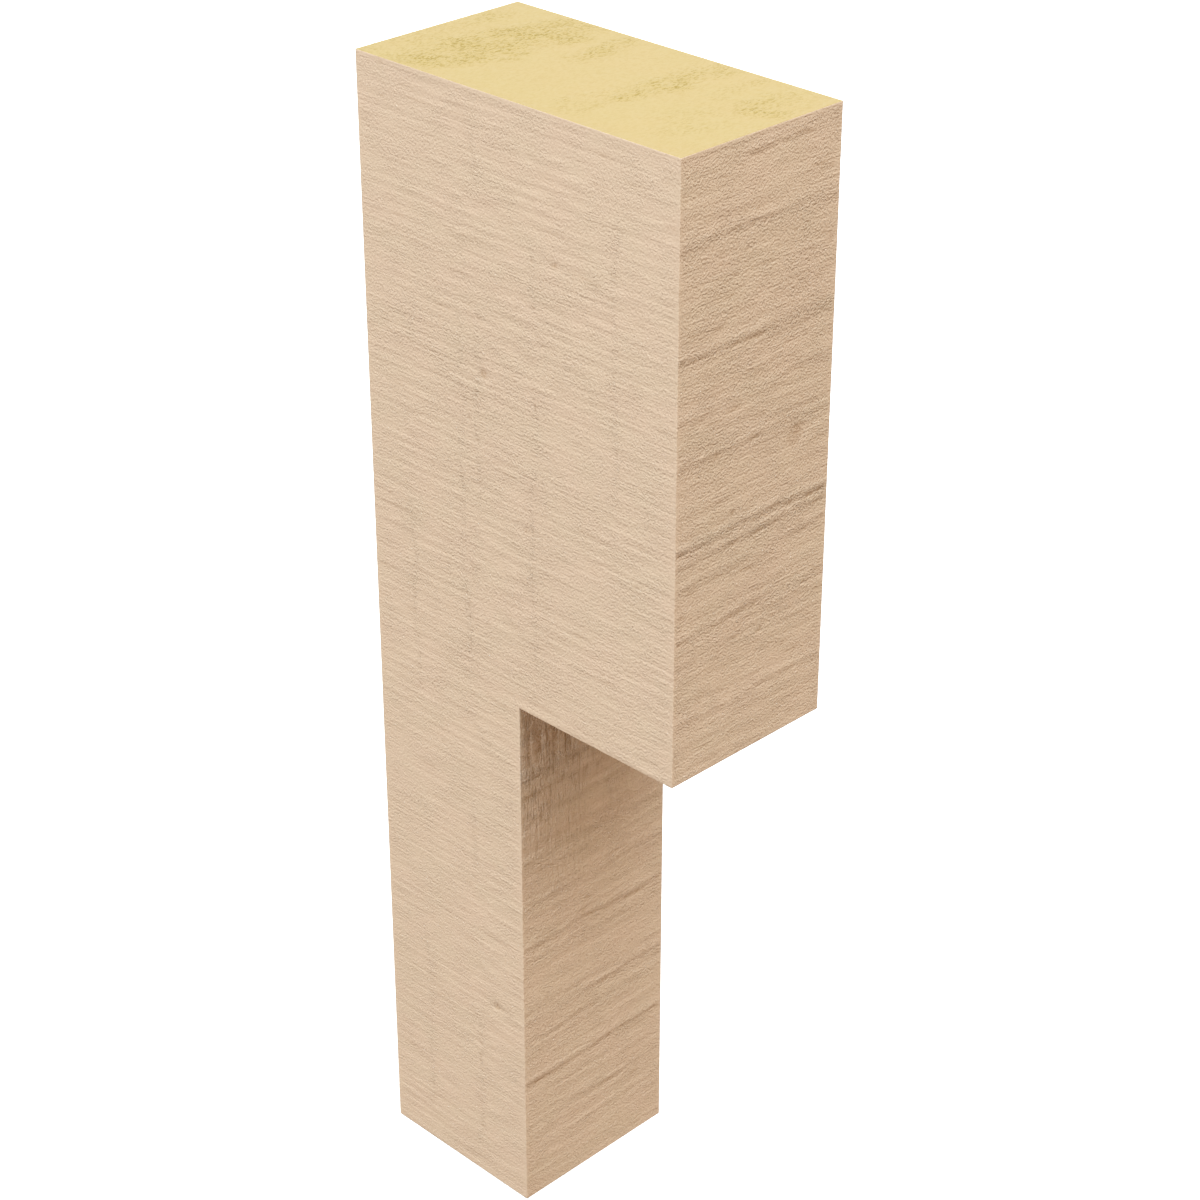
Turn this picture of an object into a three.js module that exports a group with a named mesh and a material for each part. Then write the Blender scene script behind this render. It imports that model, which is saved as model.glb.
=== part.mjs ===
// A corbel moulded in one piece of rigid foam to look like rough-sawn timber: a square leg that lies
// against the wall, and above it a block that stands twice as far out.
//
// Millimetres, +Z up. The back lies in the plane y = 0 and the front looks along -Y. The origin is the
// middle of the back, where the corbel is fixed to the wall. The back and the top are the flat faces that
// meet the building. Every other face has horizontal saw lines cut into it, and the two front faces also
// have heavier scores. All cuts go inwards, so the corbel stays inside its stated sizes.

import * as THREE from "three";
import { mergeVertices } from "three/addons/utils/BufferGeometryUtils.js";

// Driving dimensions
const WIDTH = 101.6;
const BLOCK_HEIGHT = 304.8;
const BLOCK_DEPTH = 203.2;
const LEG_HEIGHT = 304.8;
const LEG_DEPTH = 101.6;

// Saw lines: one crest and one cut to each pitch, and a plain strip left beside every arris
const SAW_PITCH = 6.1;
const SAW_DEPTH = 0.55;
const ARRIS_MARGIN = 2.5;

// Shares of the saw depth: the shallowest of the cuts and the lowest of the crests
const SHALLOWEST_CUT = 0.45;
const LOWEST_CREST = 0.3;

// How many saw lines a rough or smooth patch takes in
const LINES_IN_PATCH = 9;

// How far a saw line strays from level, and how long its waves are
const STRAY = 1.1;
const STRAY_LENGTH = 70;

// Heavy scores across the front faces, by their distance down from the top of the face
const SCORE_DROPS = [41, 93, 143, 189, 229, 274];
const SCORE_DEPTH = 1.1;
const SCORE_HALF_WIDTH = 4;
const SCORE_PATCH_LENGTH = 30;

// The range of slopes at which the scores run across
const SCORE_SLOPES = 0.05;

// Distance between vertices along a saw line, and how near two vertices are one and the same
const STEP_ALONG = 34;
const SAME_PLACE = 1e-3;

// Worked out from the driving dimensions
const HEIGHT = BLOCK_HEIGHT + LEG_HEIGHT;
const TOP = HEIGHT / 2;
const FOOT = -HEIGHT / 2;
const SOFFIT = TOP - BLOCK_HEIGHT;
const HALF_WIDTH = WIDTH / 2;

// Patterns that differ from face to face
const SEEDS = { left: 3, right: 11, blockFront: 23, legFront: 37, soffit: 41, foot: 53 };

/** A number from 0 to 1 that is always the same for the same two whole numbers. */
function hash(i, j) {
  const s = Math.sin(i * 127.1 + j * 311.7) * 43758.5453;
  return s - Math.floor(s);
}

/** Smooth noise from 0 to 1, with one bump or hollow to each unit of x and y. */
function softNoise(x, y) {
  const i = Math.floor(x);
  const j = Math.floor(y);
  const s = THREE.MathUtils.smoothstep(x - i, 0, 1);
  const t = THREE.MathUtils.smoothstep(y - j, 0, 1);
  const near = THREE.MathUtils.lerp(hash(i, j), hash(i + 1, j), s);
  const far = THREE.MathUtils.lerp(hash(i, j + 1), hash(i + 1, j + 1), s);
  return THREE.MathUtils.lerp(near, far, t);
}

/** Share of its full depth, from a half to the whole, that a cut has at a place in its pattern. */
function unevenness(x, y) {
  return THREE.MathUtils.lerp(0.5, 1, softNoise(x, y));
}

/** Stations from one arris to the next: a margin at both ends and equal steps between. */
function stations(from, to, steps) {
  const first = from + ARRIS_MARGIN;
  const last = to - ARRIS_MARGIN;
  const between = Array.from({ length: steps + 1 }, (_, k) => first + ((last - first) * k) / steps);
  return [from, ...between, to];
}

/** Stations across the saw lines, so that crests and cuts take turns. */
function sawRows(from, to) {
  return stations(from, to, 2 * Math.round((to - from) / SAW_PITCH));
}

/** Stations along the saw lines. */
function alongSaw(from, to) {
  return stations(from, to, Math.max(2, Math.round((to - from) / STEP_ALONG)));
}

/** Depth of the saw lines at a row: a crest on even rows, a cut on odd ones, deeper in some patches. */
function sawCut(row, along, seed) {
  const line = Math.floor(row / 2);
  const cut = THREE.MathUtils.lerp(SHALLOWEST_CUT, 1, hash(line, seed));
  const crest = LOWEST_CREST * hash(line, seed + 1);
  const share = row % 2 ? cut : crest;
  return SAW_DEPTH * share * unevenness(along / STRAY_LENGTH + seed, line / LINES_IN_PATCH);
}

/** Depth of the heavy scores at a distance down from the top of a front face. */
function scoreCut(drop, along, seed) {
  const cuts = SCORE_DROPS.map((at, k) => {
    const tilt = (hash(k, seed) - 0.5) * SCORE_SLOPES * along;
    const nearness = Math.max(0, 1 - Math.abs(drop - at - tilt) / SCORE_HALF_WIDTH);
    return SCORE_DEPTH * nearness * unevenness(along / SCORE_PATCH_LENGTH + k, seed);
  });
  return Math.max(...cuts);
}

/** How far a saw line lies above or below level at a point. */
function strayAt(along, height, seed) {
  return STRAY * (2 * softNoise(along / STRAY_LENGTH + seed, height / STRAY_LENGTH) - 1);
}

/** From 0 on an arris to 1 at the margin and beyond, given the distances to the arrises around. */
function fade(...distances) {
  return Math.min(1, Math.min(...distances) / ARRIS_MARGIN);
}

/** Distance from a point of the side to the corner cut out of it below the block. */
function distanceToNotch(y, z) {
  return Math.hypot(Math.max(0, y + LEG_DEPTH), Math.max(0, z - SOFFIT));
}

// Stations shared by the faces that meet at each arris
const legRows = sawRows(FOOT, SOFFIT);
const blockRows = sawRows(SOFFIT, TOP);
const allRows = [...legRows, ...blockRows.slice(1)];
const outerColumns = alongSaw(-BLOCK_DEPTH, -LEG_DEPTH);
const innerColumns = alongSaw(-LEG_DEPTH, 0);
const allColumns = [...outerColumns, ...innerColumns.slice(1)];
const across = alongSaw(-HALF_WIDTH, HALF_WIDTH);

const corners = [];

/** Adds a triangle, counter-clockwise as seen from outside. */
function addTriangle(...points) {
  points.forEach((p) => corners.push(p.x, p.y, p.z));
}

/**
 * Adds a grid of quads where keep(i, j) says so. point(i, j) gives a corner, and the way that i runs
 * crossed with the way that j runs looks outwards, or inwards where the grid is turned.
 */
function addGrid(columns, rows, point, { turned = false, keep = () => true } = {}) {
  for (let i = 0; i + 1 < columns; i++) {
    for (let j = 0; j + 1 < rows; j++) {
      if (!keep(i, j)) continue;
      const ring = [point(i, j), point(i + 1, j), point(i + 1, j + 1), point(i, j + 1)];
      if (turned) ring.reverse();
      addTriangle(ring[0], ring[1], ring[2]);
      addTriangle(ring[0], ring[2], ring[3]);
    }
  }
}

/** Adds the strip between a border with many vertices and the straight inner line from a to b. */
function addStrip(border, a, b) {
  const middle = Math.floor((border.length - 1) / 2);
  for (let k = 0; k + 1 < border.length; k++) {
    addTriangle(border[k], border[k + 1], k < middle ? a : b);
  }
  addTriangle(border[middle], b, a);
}

/** Adds a flat rectangle with a vertex at each station of its border and one clear panel inside. */
function addPanel(us, vs, place) {
  const [u0, u1] = [us[0], us[us.length - 1]];
  const [v0, v1] = [vs[0], vs[vs.length - 1]];
  const [a, b] = [us[1], us[us.length - 2]];
  const [c, d] = [vs[1], vs[vs.length - 2]];
  const inner = [place(a, c), place(b, c), place(b, d), place(a, d)];
  addStrip(us.map((u) => place(u, v0)), inner[0], inner[1]);
  addStrip(vs.map((v) => place(u1, v)), inner[1], inner[2]);
  addStrip(us.map((u) => place(u, v1)).reverse(), inner[2], inner[3]);
  addStrip(vs.map((v) => place(u0, v)).reverse(), inner[3], inner[0]);
  addTriangle(inner[0], inner[1], inner[2]);
  addTriangle(inner[0], inner[2], inner[3]);
}

/** Adds the L-shaped side that looks along +X or -X. */
function addSide(sign, seed) {
  const point = (i, j) => {
    const y = allColumns[i];
    const z = allRows[j];
    const kept = fade(-y, y + BLOCK_DEPTH, TOP - z, z - FOOT, distanceToNotch(y, z));
    const x = sign * (HALF_WIDTH - kept * sawCut(j, y, seed));
    return new THREE.Vector3(x, y, z + kept * strayAt(y, z, seed));
  };
  const keep = (i, j) => allColumns[i + 1] > -LEG_DEPTH || allRows[j] >= SOFFIT;
  addGrid(allColumns.length, allRows.length, point, { turned: sign < 0, keep });
}

/** Adds a front face, which looks along -Y, at a distance out from the wall. */
function addFront(depth, rows, seed) {
  const top = rows[rows.length - 1];
  const point = (i, j) => {
    const x = across[i];
    const z = rows[j];
    const kept = fade(x + HALF_WIDTH, HALF_WIDTH - x, top - z, z - rows[0]);
    const cut = sawCut(j, x, seed) + scoreCut(top - z, x, seed);
    return new THREE.Vector3(x, -depth + kept * cut, z + kept * strayAt(x, z, seed));
  };
  addGrid(across.length, rows.length, point);
}

/** Adds an underside, which looks along -Z, with its saw lines across the width. */
function addUnderside(height, columns, seed) {
  const point = (i, j) => {
    const x = across[j];
    const y = columns[i];
    const kept = fade(x + HALF_WIDTH, HALF_WIDTH - x, columns[columns.length - 1] - y, y - columns[0]);
    return new THREE.Vector3(x, y, height + kept * sawCut(i, x, seed));
  };
  addGrid(columns.length, across.length, point);
}

addSide(-1, SEEDS.left);
addSide(1, SEEDS.right);
addFront(BLOCK_DEPTH, blockRows, SEEDS.blockFront);
addFront(LEG_DEPTH, legRows, SEEDS.legFront);
addUnderside(SOFFIT, outerColumns, SEEDS.soffit);
addUnderside(FOOT, innerColumns, SEEDS.foot);
addPanel(across, allColumns, (x, y) => new THREE.Vector3(x, y, TOP));
addPanel(allRows, across, (z, x) => new THREE.Vector3(x, 0, z));

const soup = new THREE.BufferGeometry();
soup.setAttribute("position", new THREE.Float32BufferAttribute(corners, 3));
const solid = mergeVertices(soup, SAME_PLACE);
solid.computeVertexNormals();

// Matt tan primer over the foam
const primer = new THREE.MeshStandardMaterial({ color: "#d6bea3", roughness: 0.85, metalness: 0 });

const corbel = new THREE.Mesh(solid, primer);
corbel.name = "corbel";

const part = new THREE.Group();
part.add(corbel);

export default part;
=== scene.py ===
"""A corbel moulded in one piece of rigid foam to look like rough-sawn timber.

The side, front and under faces are primed and carry the marks of a coarse saw. The top and the back
are the bare foam that meets the building. All of that relief is in one closed mesh, and only the
fuzz and the lines that are finer than about two millimetres are left to the finishes.

The corbel's lengths are in millimetres, as on a drawing, and become metres where its mesh and its
finishes are made. The lengths of the studio are in metres.
"""

import logging
import math
from dataclasses import dataclass
from enum import Enum
from typing import Callable

import bpy
import numpy as np
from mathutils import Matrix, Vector


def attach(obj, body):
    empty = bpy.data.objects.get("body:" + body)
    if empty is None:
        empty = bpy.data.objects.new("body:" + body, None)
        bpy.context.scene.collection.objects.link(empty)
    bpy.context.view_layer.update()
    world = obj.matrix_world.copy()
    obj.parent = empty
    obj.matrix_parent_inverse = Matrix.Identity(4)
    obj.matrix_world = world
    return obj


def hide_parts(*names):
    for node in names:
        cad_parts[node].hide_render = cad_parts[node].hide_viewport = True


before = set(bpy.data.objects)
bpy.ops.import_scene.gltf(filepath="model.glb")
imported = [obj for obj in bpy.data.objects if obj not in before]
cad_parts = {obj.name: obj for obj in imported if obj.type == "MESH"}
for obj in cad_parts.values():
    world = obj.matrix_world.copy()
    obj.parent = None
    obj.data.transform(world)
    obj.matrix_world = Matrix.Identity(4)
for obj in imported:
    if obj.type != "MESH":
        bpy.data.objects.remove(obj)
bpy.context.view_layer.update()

Array = np.ndarray
Vec3 = tuple[float, float, float]
Vec2 = tuple[float, float]
Colour = tuple[float, float, float]

MM = 0.001
CORBEL_NODE = "corbel"
BODY = "root"

# How near two places are one and the same
SAME_PLACE = 0.01

log = logging.getLogger("corbel")


class Finish(Enum):
    """The finishes of the corbel's faces, by the number of their material slot."""

    SIDE = 0
    FRONT = 1
    FOAM = 2


@dataclass(frozen=True)
class Form:
    """The corbel's sizes: a square leg, and above it a block that stands out further.

    Attributes:
        width: From the left side to the right side.
        height: From the foot to the top.
        block_depth: How far the block stands out from the wall.
        leg_depth: How far the leg stands out from the wall.
        block_height: From the underside of the block to the top.
    """

    width: float
    height: float
    block_depth: float
    leg_depth: float
    block_height: float

    @classmethod
    def of_solid(cls, solid: bpy.types.Object) -> "Form":
        """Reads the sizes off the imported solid.

        Args:
            solid: The solid's object, with its place in its mesh.

        Returns:
            The form, in millimetres.
        """
        points = np.array([vertex.co for vertex in solid.data.vertices]) / MM
        low, high = points.min(axis=0), points.max(axis=0)
        at_foot = points[points[:, 2] < low[2] + SAME_PLACE]
        at_front = points[points[:, 1] < low[1] + SAME_PLACE]
        return cls(
            width=float(high[0] - low[0]),
            height=float(high[2] - low[2]),
            block_depth=float(high[1] - low[1]),
            leg_depth=float(high[1] - at_foot[:, 1].min()),
            block_height=float(high[2] - at_front[:, 2].min()),
        )

    @property
    def top(self) -> float:
        """The level of the top. The origin is half-way up the back."""
        return self.height / 2


def ease(share: Array) -> Array:
    """A share from 0 to 1 that starts and ends level."""
    clipped = np.clip(share, 0.0, 1.0)
    return clipped * clipped * clipped * (clipped * (clipped * 6.0 - 15.0) + 10.0)


def hump(distance: Array, width: float | Array) -> Array:
    """1 in the middle, and nearly 0 at twice the width from it."""
    return np.exp(-((distance / width) ** 2))


def between(place: Array, start: float, end: float, fade: float) -> Array:
    """1 from the start to the end and 0 outside them, with a soft step round both."""
    return ease((place - start) / fade + 0.5) * ease((end - place) / fade + 0.5)


def profile(place: Array, points: tuple[Vec2, ...]) -> Array:
    """A value that changes smoothly with the place, and is level before the first point and after the last.

    Args:
        place: Places along one direction.
        points: Pairs of a place and the value there.

    Returns:
        One value for each place.
    """
    value = points[0][1] + 0.0 * place
    for (start, before), (end, after) in zip(points, points[1:]):
        value = value + (after - before) * ease((place - start) / (end - start))
    return value


class Grain:
    """Smooth random bumps on a sheet without end, the same each time for the same seed."""

    SIZE = 509

    def __init__(self, seed: int) -> None:
        """Draws the heights of the bumps.

        Args:
            seed: Any whole number.
        """
        self.heights = np.random.default_rng(seed).uniform(-1.0, 1.0, (self.SIZE, self.SIZE))

    def bumps(self, u: Array, v: Array, length: float, width: float) -> Array:
        """Heights from -1 to 1 at points of the sheet.

        Args:
            u: Places along the bumps.
            v: Places across the bumps.
            length: How far one bump or hollow runs along u.
            width: How far one bump or hollow runs along v.

        Returns:
            One height for each point.
        """
        x, y = np.broadcast_arrays(u / length, v / width)
        i, j = np.floor(x).astype(int), np.floor(y).astype(int)
        s, t = ease(x - i), ease(y - j)
        near, far = i % self.SIZE, (i + 1) % self.SIZE
        low, high = j % self.SIZE, (j + 1) % self.SIZE
        first = self.heights[near, low] * (1 - s) + self.heights[far, low] * s
        second = self.heights[near, high] * (1 - s) + self.heights[far, high] * s
        return first * (1 - t) + second * t


@dataclass(frozen=True)
class Bumps:
    """Layers of random bumps and hollows round a middle value.

    Attributes:
        middle: The value that they rise above and fall below.
        layers: Half the height of each layer, and how far its bumps run along u and along v.
        low: The lowest value that they may come to.
        high: The highest value that they may come to.
    """

    middle: float
    layers: tuple[Vec3, ...]
    low: float = -math.inf
    high: float = math.inf

    def at(self, grain: Grain, u: Array, v: Array) -> Array:
        """The values at points of a face.

        Args:
            grain: The random bumps.
            u: Distances along the face.
            v: Distances down or across the face.

        Returns:
            One value for each point.
        """
        value = self.middle
        for height, length, width in self.layers:
            value = value + height * grain.bumps(u, v, length, width)
        return np.clip(value, self.low, self.high)


@dataclass(frozen=True)
class Track:
    """A broken upright line where the saw chattered, with short tears across it.

    Attributes:
        at: Distance from the wall.
        start: Where it starts, down from the top of the corbel.
        end: Where it ends, down from the top of the corbel.
        width: How far its tears reach to each side.
        depth: How deep its tears are.
    """

    at: float
    start: float
    end: float
    width: float
    depth: float

    WANDER = Bumps(0.0, ((2.4, 19.0, 7.0), (0.9, 4.5, 3.0)))
    FADE = 9.0

    def nearness(self, grain: Grain, u: Array, v: Array, spread: float) -> Array:
        """How near points of the side are to the track, from 0 to 1, at so many times its width."""
        off = u - self.at - self.WANDER.at(grain, v, u * 0 + self.at)
        return between(v, self.start, self.end, self.FADE) * hump(off, self.width * spread)


@dataclass(frozen=True)
class Pit:
    """A small hollow, or a low bump where its depth is less than nothing.

    Attributes:
        u: Distance along the face.
        v: Distance down the face.
        radius: Its size.
        depth: Its depth in the middle.
    """

    u: float
    v: float
    radius: float
    depth: float


@dataclass(frozen=True)
class Score:
    """A heavy line across a front face: a lip with a torn groove under it.

    Attributes:
        drop: Distance down from the top of the face.
        depth: Depth of the groove.
        start: Where it starts, from the left arris.
        end: Where it ends, from the left arris.
        slope: How much it drops for each millimetre to the right.
        reach: How far the groove runs out below the line.
    """

    drop: float
    depth: float
    start: float = -20.0
    end: float = 130.0
    slope: float = 0.0
    reach: float = 1.6

    WANDER = Bumps(0.0, ((1.5, 21.0, 7.0), (0.7, 5.0, 3.0)))
    TORN = Bumps(0.6, ((0.6, 4.2, 1.8),))
    TORN_ALONG = Bumps(0.0, ((0.4, 13.0, 5.0),))
    FADE = 12.0

    # The bottom of the groove lies a little below the line, and the lip above it
    GROOVE_DROP = 0.9
    LIP_RISE = 1.9
    LIP_WIDTH = 1.7
    LIP_SHARE = 0.8

    def below(self, u: Array, v: Array) -> Array:
        """How far points of the face lie below the line."""
        return v - self.drop - self.slope * u

    def cut(self, grain: Grain, u: Array, v: Array) -> Array:
        """Depth of the score at points of the face, with the lip as a negative depth.

        Args:
            grain: The random bumps.
            u: Distances along the face.
            v: Distances down or across the face.

        Returns:
            One depth for each point.
        """
        row = u * 0 + self.drop
        below = self.below(u, v) - self.WANDER.at(grain, u, row)
        torn = self.TORN.at(grain, u, v) + self.TORN_ALONG.at(grain, u, row)
        side = np.where(below > self.GROOVE_DROP, self.reach, self.GROOVE_DROP)
        lip = self.LIP_SHARE * hump(below + self.LIP_RISE, self.LIP_WIDTH)
        groove = hump(below - self.GROOVE_DROP, side)
        return self.depth * between(u, self.start, self.end, self.FADE) * torn * (groove - lip)


def pitted(u: Array, v: Array, pits: tuple[Pit, ...]) -> Array:
    """Depth of a set of pits at points of a face."""
    return sum((pit.depth * hump(np.hypot(u - pit.u, v - pit.v), pit.radius) for pit in pits), 0.0 * u)


class Relief:
    """A smooth face. Each kind of relief adds the fuzz, the cuts or the ripples that it has."""

    # Added to the seed of a face, so that its patterns differ from each other
    FUZZ_SEED = 5
    TRACK_SEED = 7
    RIPPLE_SEED = 8

    def fuzz(self, u: Array, v: Array) -> Array:
        """How rough the finish is at each point, or how many open cells it has."""
        return np.zeros_like(u)

    def cut(self, u: Array, v: Array) -> Array:
        """Depth of the relief below the face at each point."""
        return np.zeros_like(u)

    def ripple(self, u: Array, v: Array) -> Array:
        """Strength of the fine upright ripples at each point, which also sets the painted shade between them.
        """
        return np.zeros_like(u)


@dataclass(frozen=True)
class SawnSide(Relief):
    """Relief of a side face: fine wavy saw lines, broken upright tracks and pits.

    Attributes:
        seed: Sets the random draws of this face.
        tracks: The upright tracks.
        pits: The single pits.
        line_pitch: Distance from one even saw line to the next.
        line_depth: Half the height of the even saw lines.
        stray_depth: Half the height of the uneven lines between them.
        track_fuzz: How much rougher the face is along a track.
        track_edge: How far the torn edge of a track spreads, as a share of the track's width.
        track_spread: How far the fuzz along a track spreads, in the same way.
    """

    seed: int
    tracks: tuple[Track, ...] = ()
    pits: tuple[Pit, ...] = ()
    line_pitch: float = 6.1
    line_depth: float = 0.09
    stray_depth: float = 0.17
    track_fuzz: float = 0.4
    track_edge: float = 0.5
    track_spread: float = 1.3

    # How rough the face is by the drop from its top, and how unevenly
    FUZZ_DOWN = ((0.0, 0.45), (120.0, 0.7), (290.0, 0.7), (390.0, 0.6))
    FUZZ = Bumps(0.0, ((0.12, 30.0, 22.0), (0.25, 11.0, 7.0)))
    FUZZ_RANGE = (0.2, 1.5)

    # The saw lines: how they stray from level, and how strong they are
    SURFACE = Bumps(0.26, ((0.03, 47.0, 38.0),))
    STRAY = Bumps(0.0, ((0.8, 120.0, 70.0), (0.25, 24.0, 17.0)))
    EVEN = Bumps(0.7, ((0.5, 60.0, 12.0),))
    UNEVEN = Bumps(0.0, ((0.9, 14.0, 2.1),))
    SHORT = Bumps(0.0, ((1.0, 6.0, 1.6),))
    ROUGH = Bumps(0.65, ((0.7, 34.0, 26.0),), 0.2, 1.3)

    # The tears along a track, and its torn edge
    TEARS = Bumps(0.0, ((1.1, 2.6, 2.6),))
    EDGE = Bumps(0.45, ((1.08, 30.0, 5.0),), 0.0, 0.9)

    def fuzz(self, u: Array, v: Array) -> Array:
        """How rough the finish is at each point.

        Args:
            u: Distances along the face.
            v: Distances down or across the face.

        Returns:
            One value for each point.
        """
        grain = Grain(self.seed + self.TRACK_SEED)
        rough = profile(v, self.FUZZ_DOWN) + self.FUZZ.at(Grain(self.seed + self.FUZZ_SEED), u, v)
        for track in self.tracks:
            rough = rough + self.track_fuzz * track.nearness(grain, u, v, self.track_spread)
        return np.clip(rough, *self.FUZZ_RANGE)

    def cut(self, u: Array, v: Array) -> Array:
        """Depth of the relief below the face at each point.

        Args:
            u: Distances along the face.
            v: Distances down or across the face.

        Returns:
            One depth for each point.
        """
        swell, lines, patch, tears = (Grain(self.seed + k) for k in range(4))
        s = v + self.STRAY.at(swell, u, v)
        even = np.cos(2 * np.pi * s / self.line_pitch) * self.EVEN.at(lines, u, s)
        uneven = self.UNEVEN.at(lines, u, s) + self.SHORT.at(patch, u, s)
        depth = self.SURFACE.at(swell, u, v) + self.line_depth * even
        depth = depth + self.stray_depth * self.ROUGH.at(patch, u, v) * uneven
        torn, edge = self.TEARS.at(tears, u, v), self.EDGE.at(tears, u, v)
        grain = Grain(self.seed + self.TRACK_SEED)
        for track in self.tracks:
            whole = track.nearness(grain, u, v, 1.0)
            narrow = track.nearness(grain, u, v, self.track_edge)
            depth = depth + track.depth * (whole * torn + narrow * edge)
        return depth + pitted(u, v, self.pits)


@dataclass(frozen=True)
class ScoredFront(Relief):
    """Relief of a front face: torn fuzz, tilted saw lines and heavy scores.

    Attributes:
        seed: Sets the random draws of this face.
        scores: The heavy scores.
        pits: The single pits and dents.
        roughness: Strength of the torn fuzz.
        lines: Strength of the tilted saw lines.
        strengths: Strength of both by the drop from the top of the face, as pairs of a drop and a strength.
        gouged: Strength of the upright gouges, in the same way.
        rippled: Strength of the fine upright ripples, in the same way. The gouges add to it, and the primer
            paints shade between the ripples by it.
    """

    seed: int
    scores: tuple[Score, ...]
    pits: tuple[Pit, ...] = ()
    roughness: float = 1.0
    lines: float = 1.0
    strengths: tuple[Vec2, ...] = ((0.0, 1.0),)
    gouged: tuple[Vec2, ...] = ((0.0, 0.0),)
    rippled: tuple[Vec2, ...] = ((0.0, 0.0),)

    # The torn fuzz, which is thicker along the scores
    FUZZ = Bumps(0.66, ((0.1, 26.0, 15.0), (0.18, 9.0, 5.0)))
    FUZZ_RANGE = (0.2, 1.6)
    SCORE_FUZZ = 0.6
    SCORE_FUZZ_REACH = 3.2
    TORN = Bumps(0.0, ((0.15, 3.2, 1.9),))
    BEND_U = Bumps(0.0, ((2.2, 9.0, 6.0),))
    BEND_V = Bumps(0.0, ((1.7, 11.0, 5.0),))

    # The saw lines: how they stray from level, how much they rise to the right, and how deep they are
    SURFACE = Bumps(0.32, ((0.07, 42.0, 21.0),))
    STRAY = Bumps(0.0, ((1.6, 52.0, 40.0), (0.6, 15.0, 9.0)))
    TILT = 0.02
    SAWN = Bumps(0.0, ((0.11, 55.0, 3.0), (0.1, 26.0, 1.9)))

    # The upright gouges, and the ripples, which are strongest at the left
    SWAY = Bumps(0.0, ((1.2, 14.0, 12.0),))
    GOUGES = Bumps(-0.48, ((1.6, 26.0, 2.2),), low=0.0)
    RIPPLES = Bumps(0.75, ((0.8, 13.0, 26.0),), 0.15, 1.5)
    RIPPLED_ACROSS = ((0.0, 1.0), (90.0, 0.5))

    def fuzz(self, u: Array, v: Array) -> Array:
        """How rough the finish is at each point.

        Args:
            u: Distances along the face.
            v: Distances down or across the face.

        Returns:
            One value for each point.
        """
        patches = self.FUZZ.at(Grain(self.seed + self.FUZZ_SEED), u, v)
        torn = sum(score.depth * hump(score.below(u, v), self.SCORE_FUZZ_REACH) for score in self.scores)
        rough = self.roughness * profile(v, self.strengths) * (patches + self.SCORE_FUZZ * torn)
        return np.clip(rough, *self.FUZZ_RANGE)

    def cut(self, u: Array, v: Array) -> Array:
        """Depth of the relief below the face at each point.

        Args:
            u: Distances along the face.
            v: Distances down or across the face.

        Returns:
            One depth for each point.
        """
        swell, lines, torn, tears = (Grain(self.seed + k) for k in range(4))
        s = v - self.TILT * u + self.STRAY.at(swell, u, v)
        sawn = self.lines * profile(v, self.strengths) * self.SAWN.at(lines, u, s)
        bent_u, bent_v = u + self.BEND_U.at(swell, u, v), v + self.BEND_V.at(torn, u, v)
        depth = self.SURFACE.at(swell, u, v) + sawn
        depth = depth + self.fuzz(u, v) * self.TORN.at(torn, bent_u, bent_v)
        for score in self.scores:
            depth = depth + score.cut(tears, u, v)
        gouges = self.GOUGES.at(lines, v, u + self.SWAY.at(swell, u, v))
        depth = depth + profile(v, self.gouged) * gouges
        return depth + pitted(u, v, self.pits)

    def ripple(self, u: Array, v: Array) -> Array:
        """Strength of the fine upright ripples at each point, which also sets the painted shade between them.

        Args:
            u: Distances along the face.
            v: Distances down or across the face.

        Returns:
            One value for each point.
        """
        patches = self.RIPPLES.at(Grain(self.seed + self.RIPPLE_SEED), u, v)
        down = profile(v, self.rippled) + profile(v, self.gouged)
        return patches * profile(u, self.RIPPLED_ACROSS) * down


@dataclass(frozen=True)
class SawnUnderside(Relief):
    """Relief of a face that looks down: saw lines across its width.

    Attributes:
        seed: Sets the random draws of this face.
    """

    seed: int

    FUZZ = Bumps(0.5, ((0.5, 24.0, 18.0),), 0.1, 1.0)
    STRAY = Bumps(0.0, ((1.2, 48.0, 40.0),))
    LONG = Bumps(0.24, ((0.2, 26.0, 3.05),))
    SHORT = Bumps(0.0, ((0.1, 9.0, 2.6),))

    def fuzz(self, u: Array, v: Array) -> Array:
        """How rough the finish is at each point."""
        return self.FUZZ.at(Grain(self.seed + self.FUZZ_SEED), u, v)

    def cut(self, u: Array, v: Array) -> Array:
        """Depth of the relief below the face at each point.

        Args:
            u: Distances along the face.
            v: Distances down or across the face.

        Returns:
            One depth for each point.
        """
        swell, lines = Grain(self.seed), Grain(self.seed + 1)
        s = v + self.STRAY.at(swell, u, v)
        return self.LONG.at(lines, u, s) + self.SHORT.at(swell, u, s)


@dataclass(frozen=True)
class Patch:
    """A patch of bare foam where the cut opened its cells.

    Attributes:
        u: Middle of the patch, out from the wall.
        v: Middle of the patch, from the left side.
        half_width: Half its width along u.
        half_length: Half its length along v.
        share: How many cells are open in its middle, from 0 to 1.
        lean: How far it leans along u for each millimetre along v.
    """

    u: float
    v: float
    half_width: float
    half_length: float
    share: float
    lean: float = 0.0

    # How whole the patch is, by how far out from its middle a point is as a share of its size
    BORDER = ((7 / 12, 1.0), (17 / 12, 0.0))

    def open_share(self, u: Array, v: Array, stray: Array) -> Array:
        """How many cells the patch opens at each point, from 0 to 1, with its border moved by a stray.

        Args:
            u: Distances along the face.
            v: Distances down or across the face.
            stray: How far the border is moved at each point.

        Returns:
            One value for each point.
        """
        sideways = (u + stray - self.u - self.lean * (v - self.v)) / self.half_width
        along = (v + stray - self.v) / self.half_length
        return self.share * profile(np.hypot(sideways, along), self.BORDER)


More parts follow.
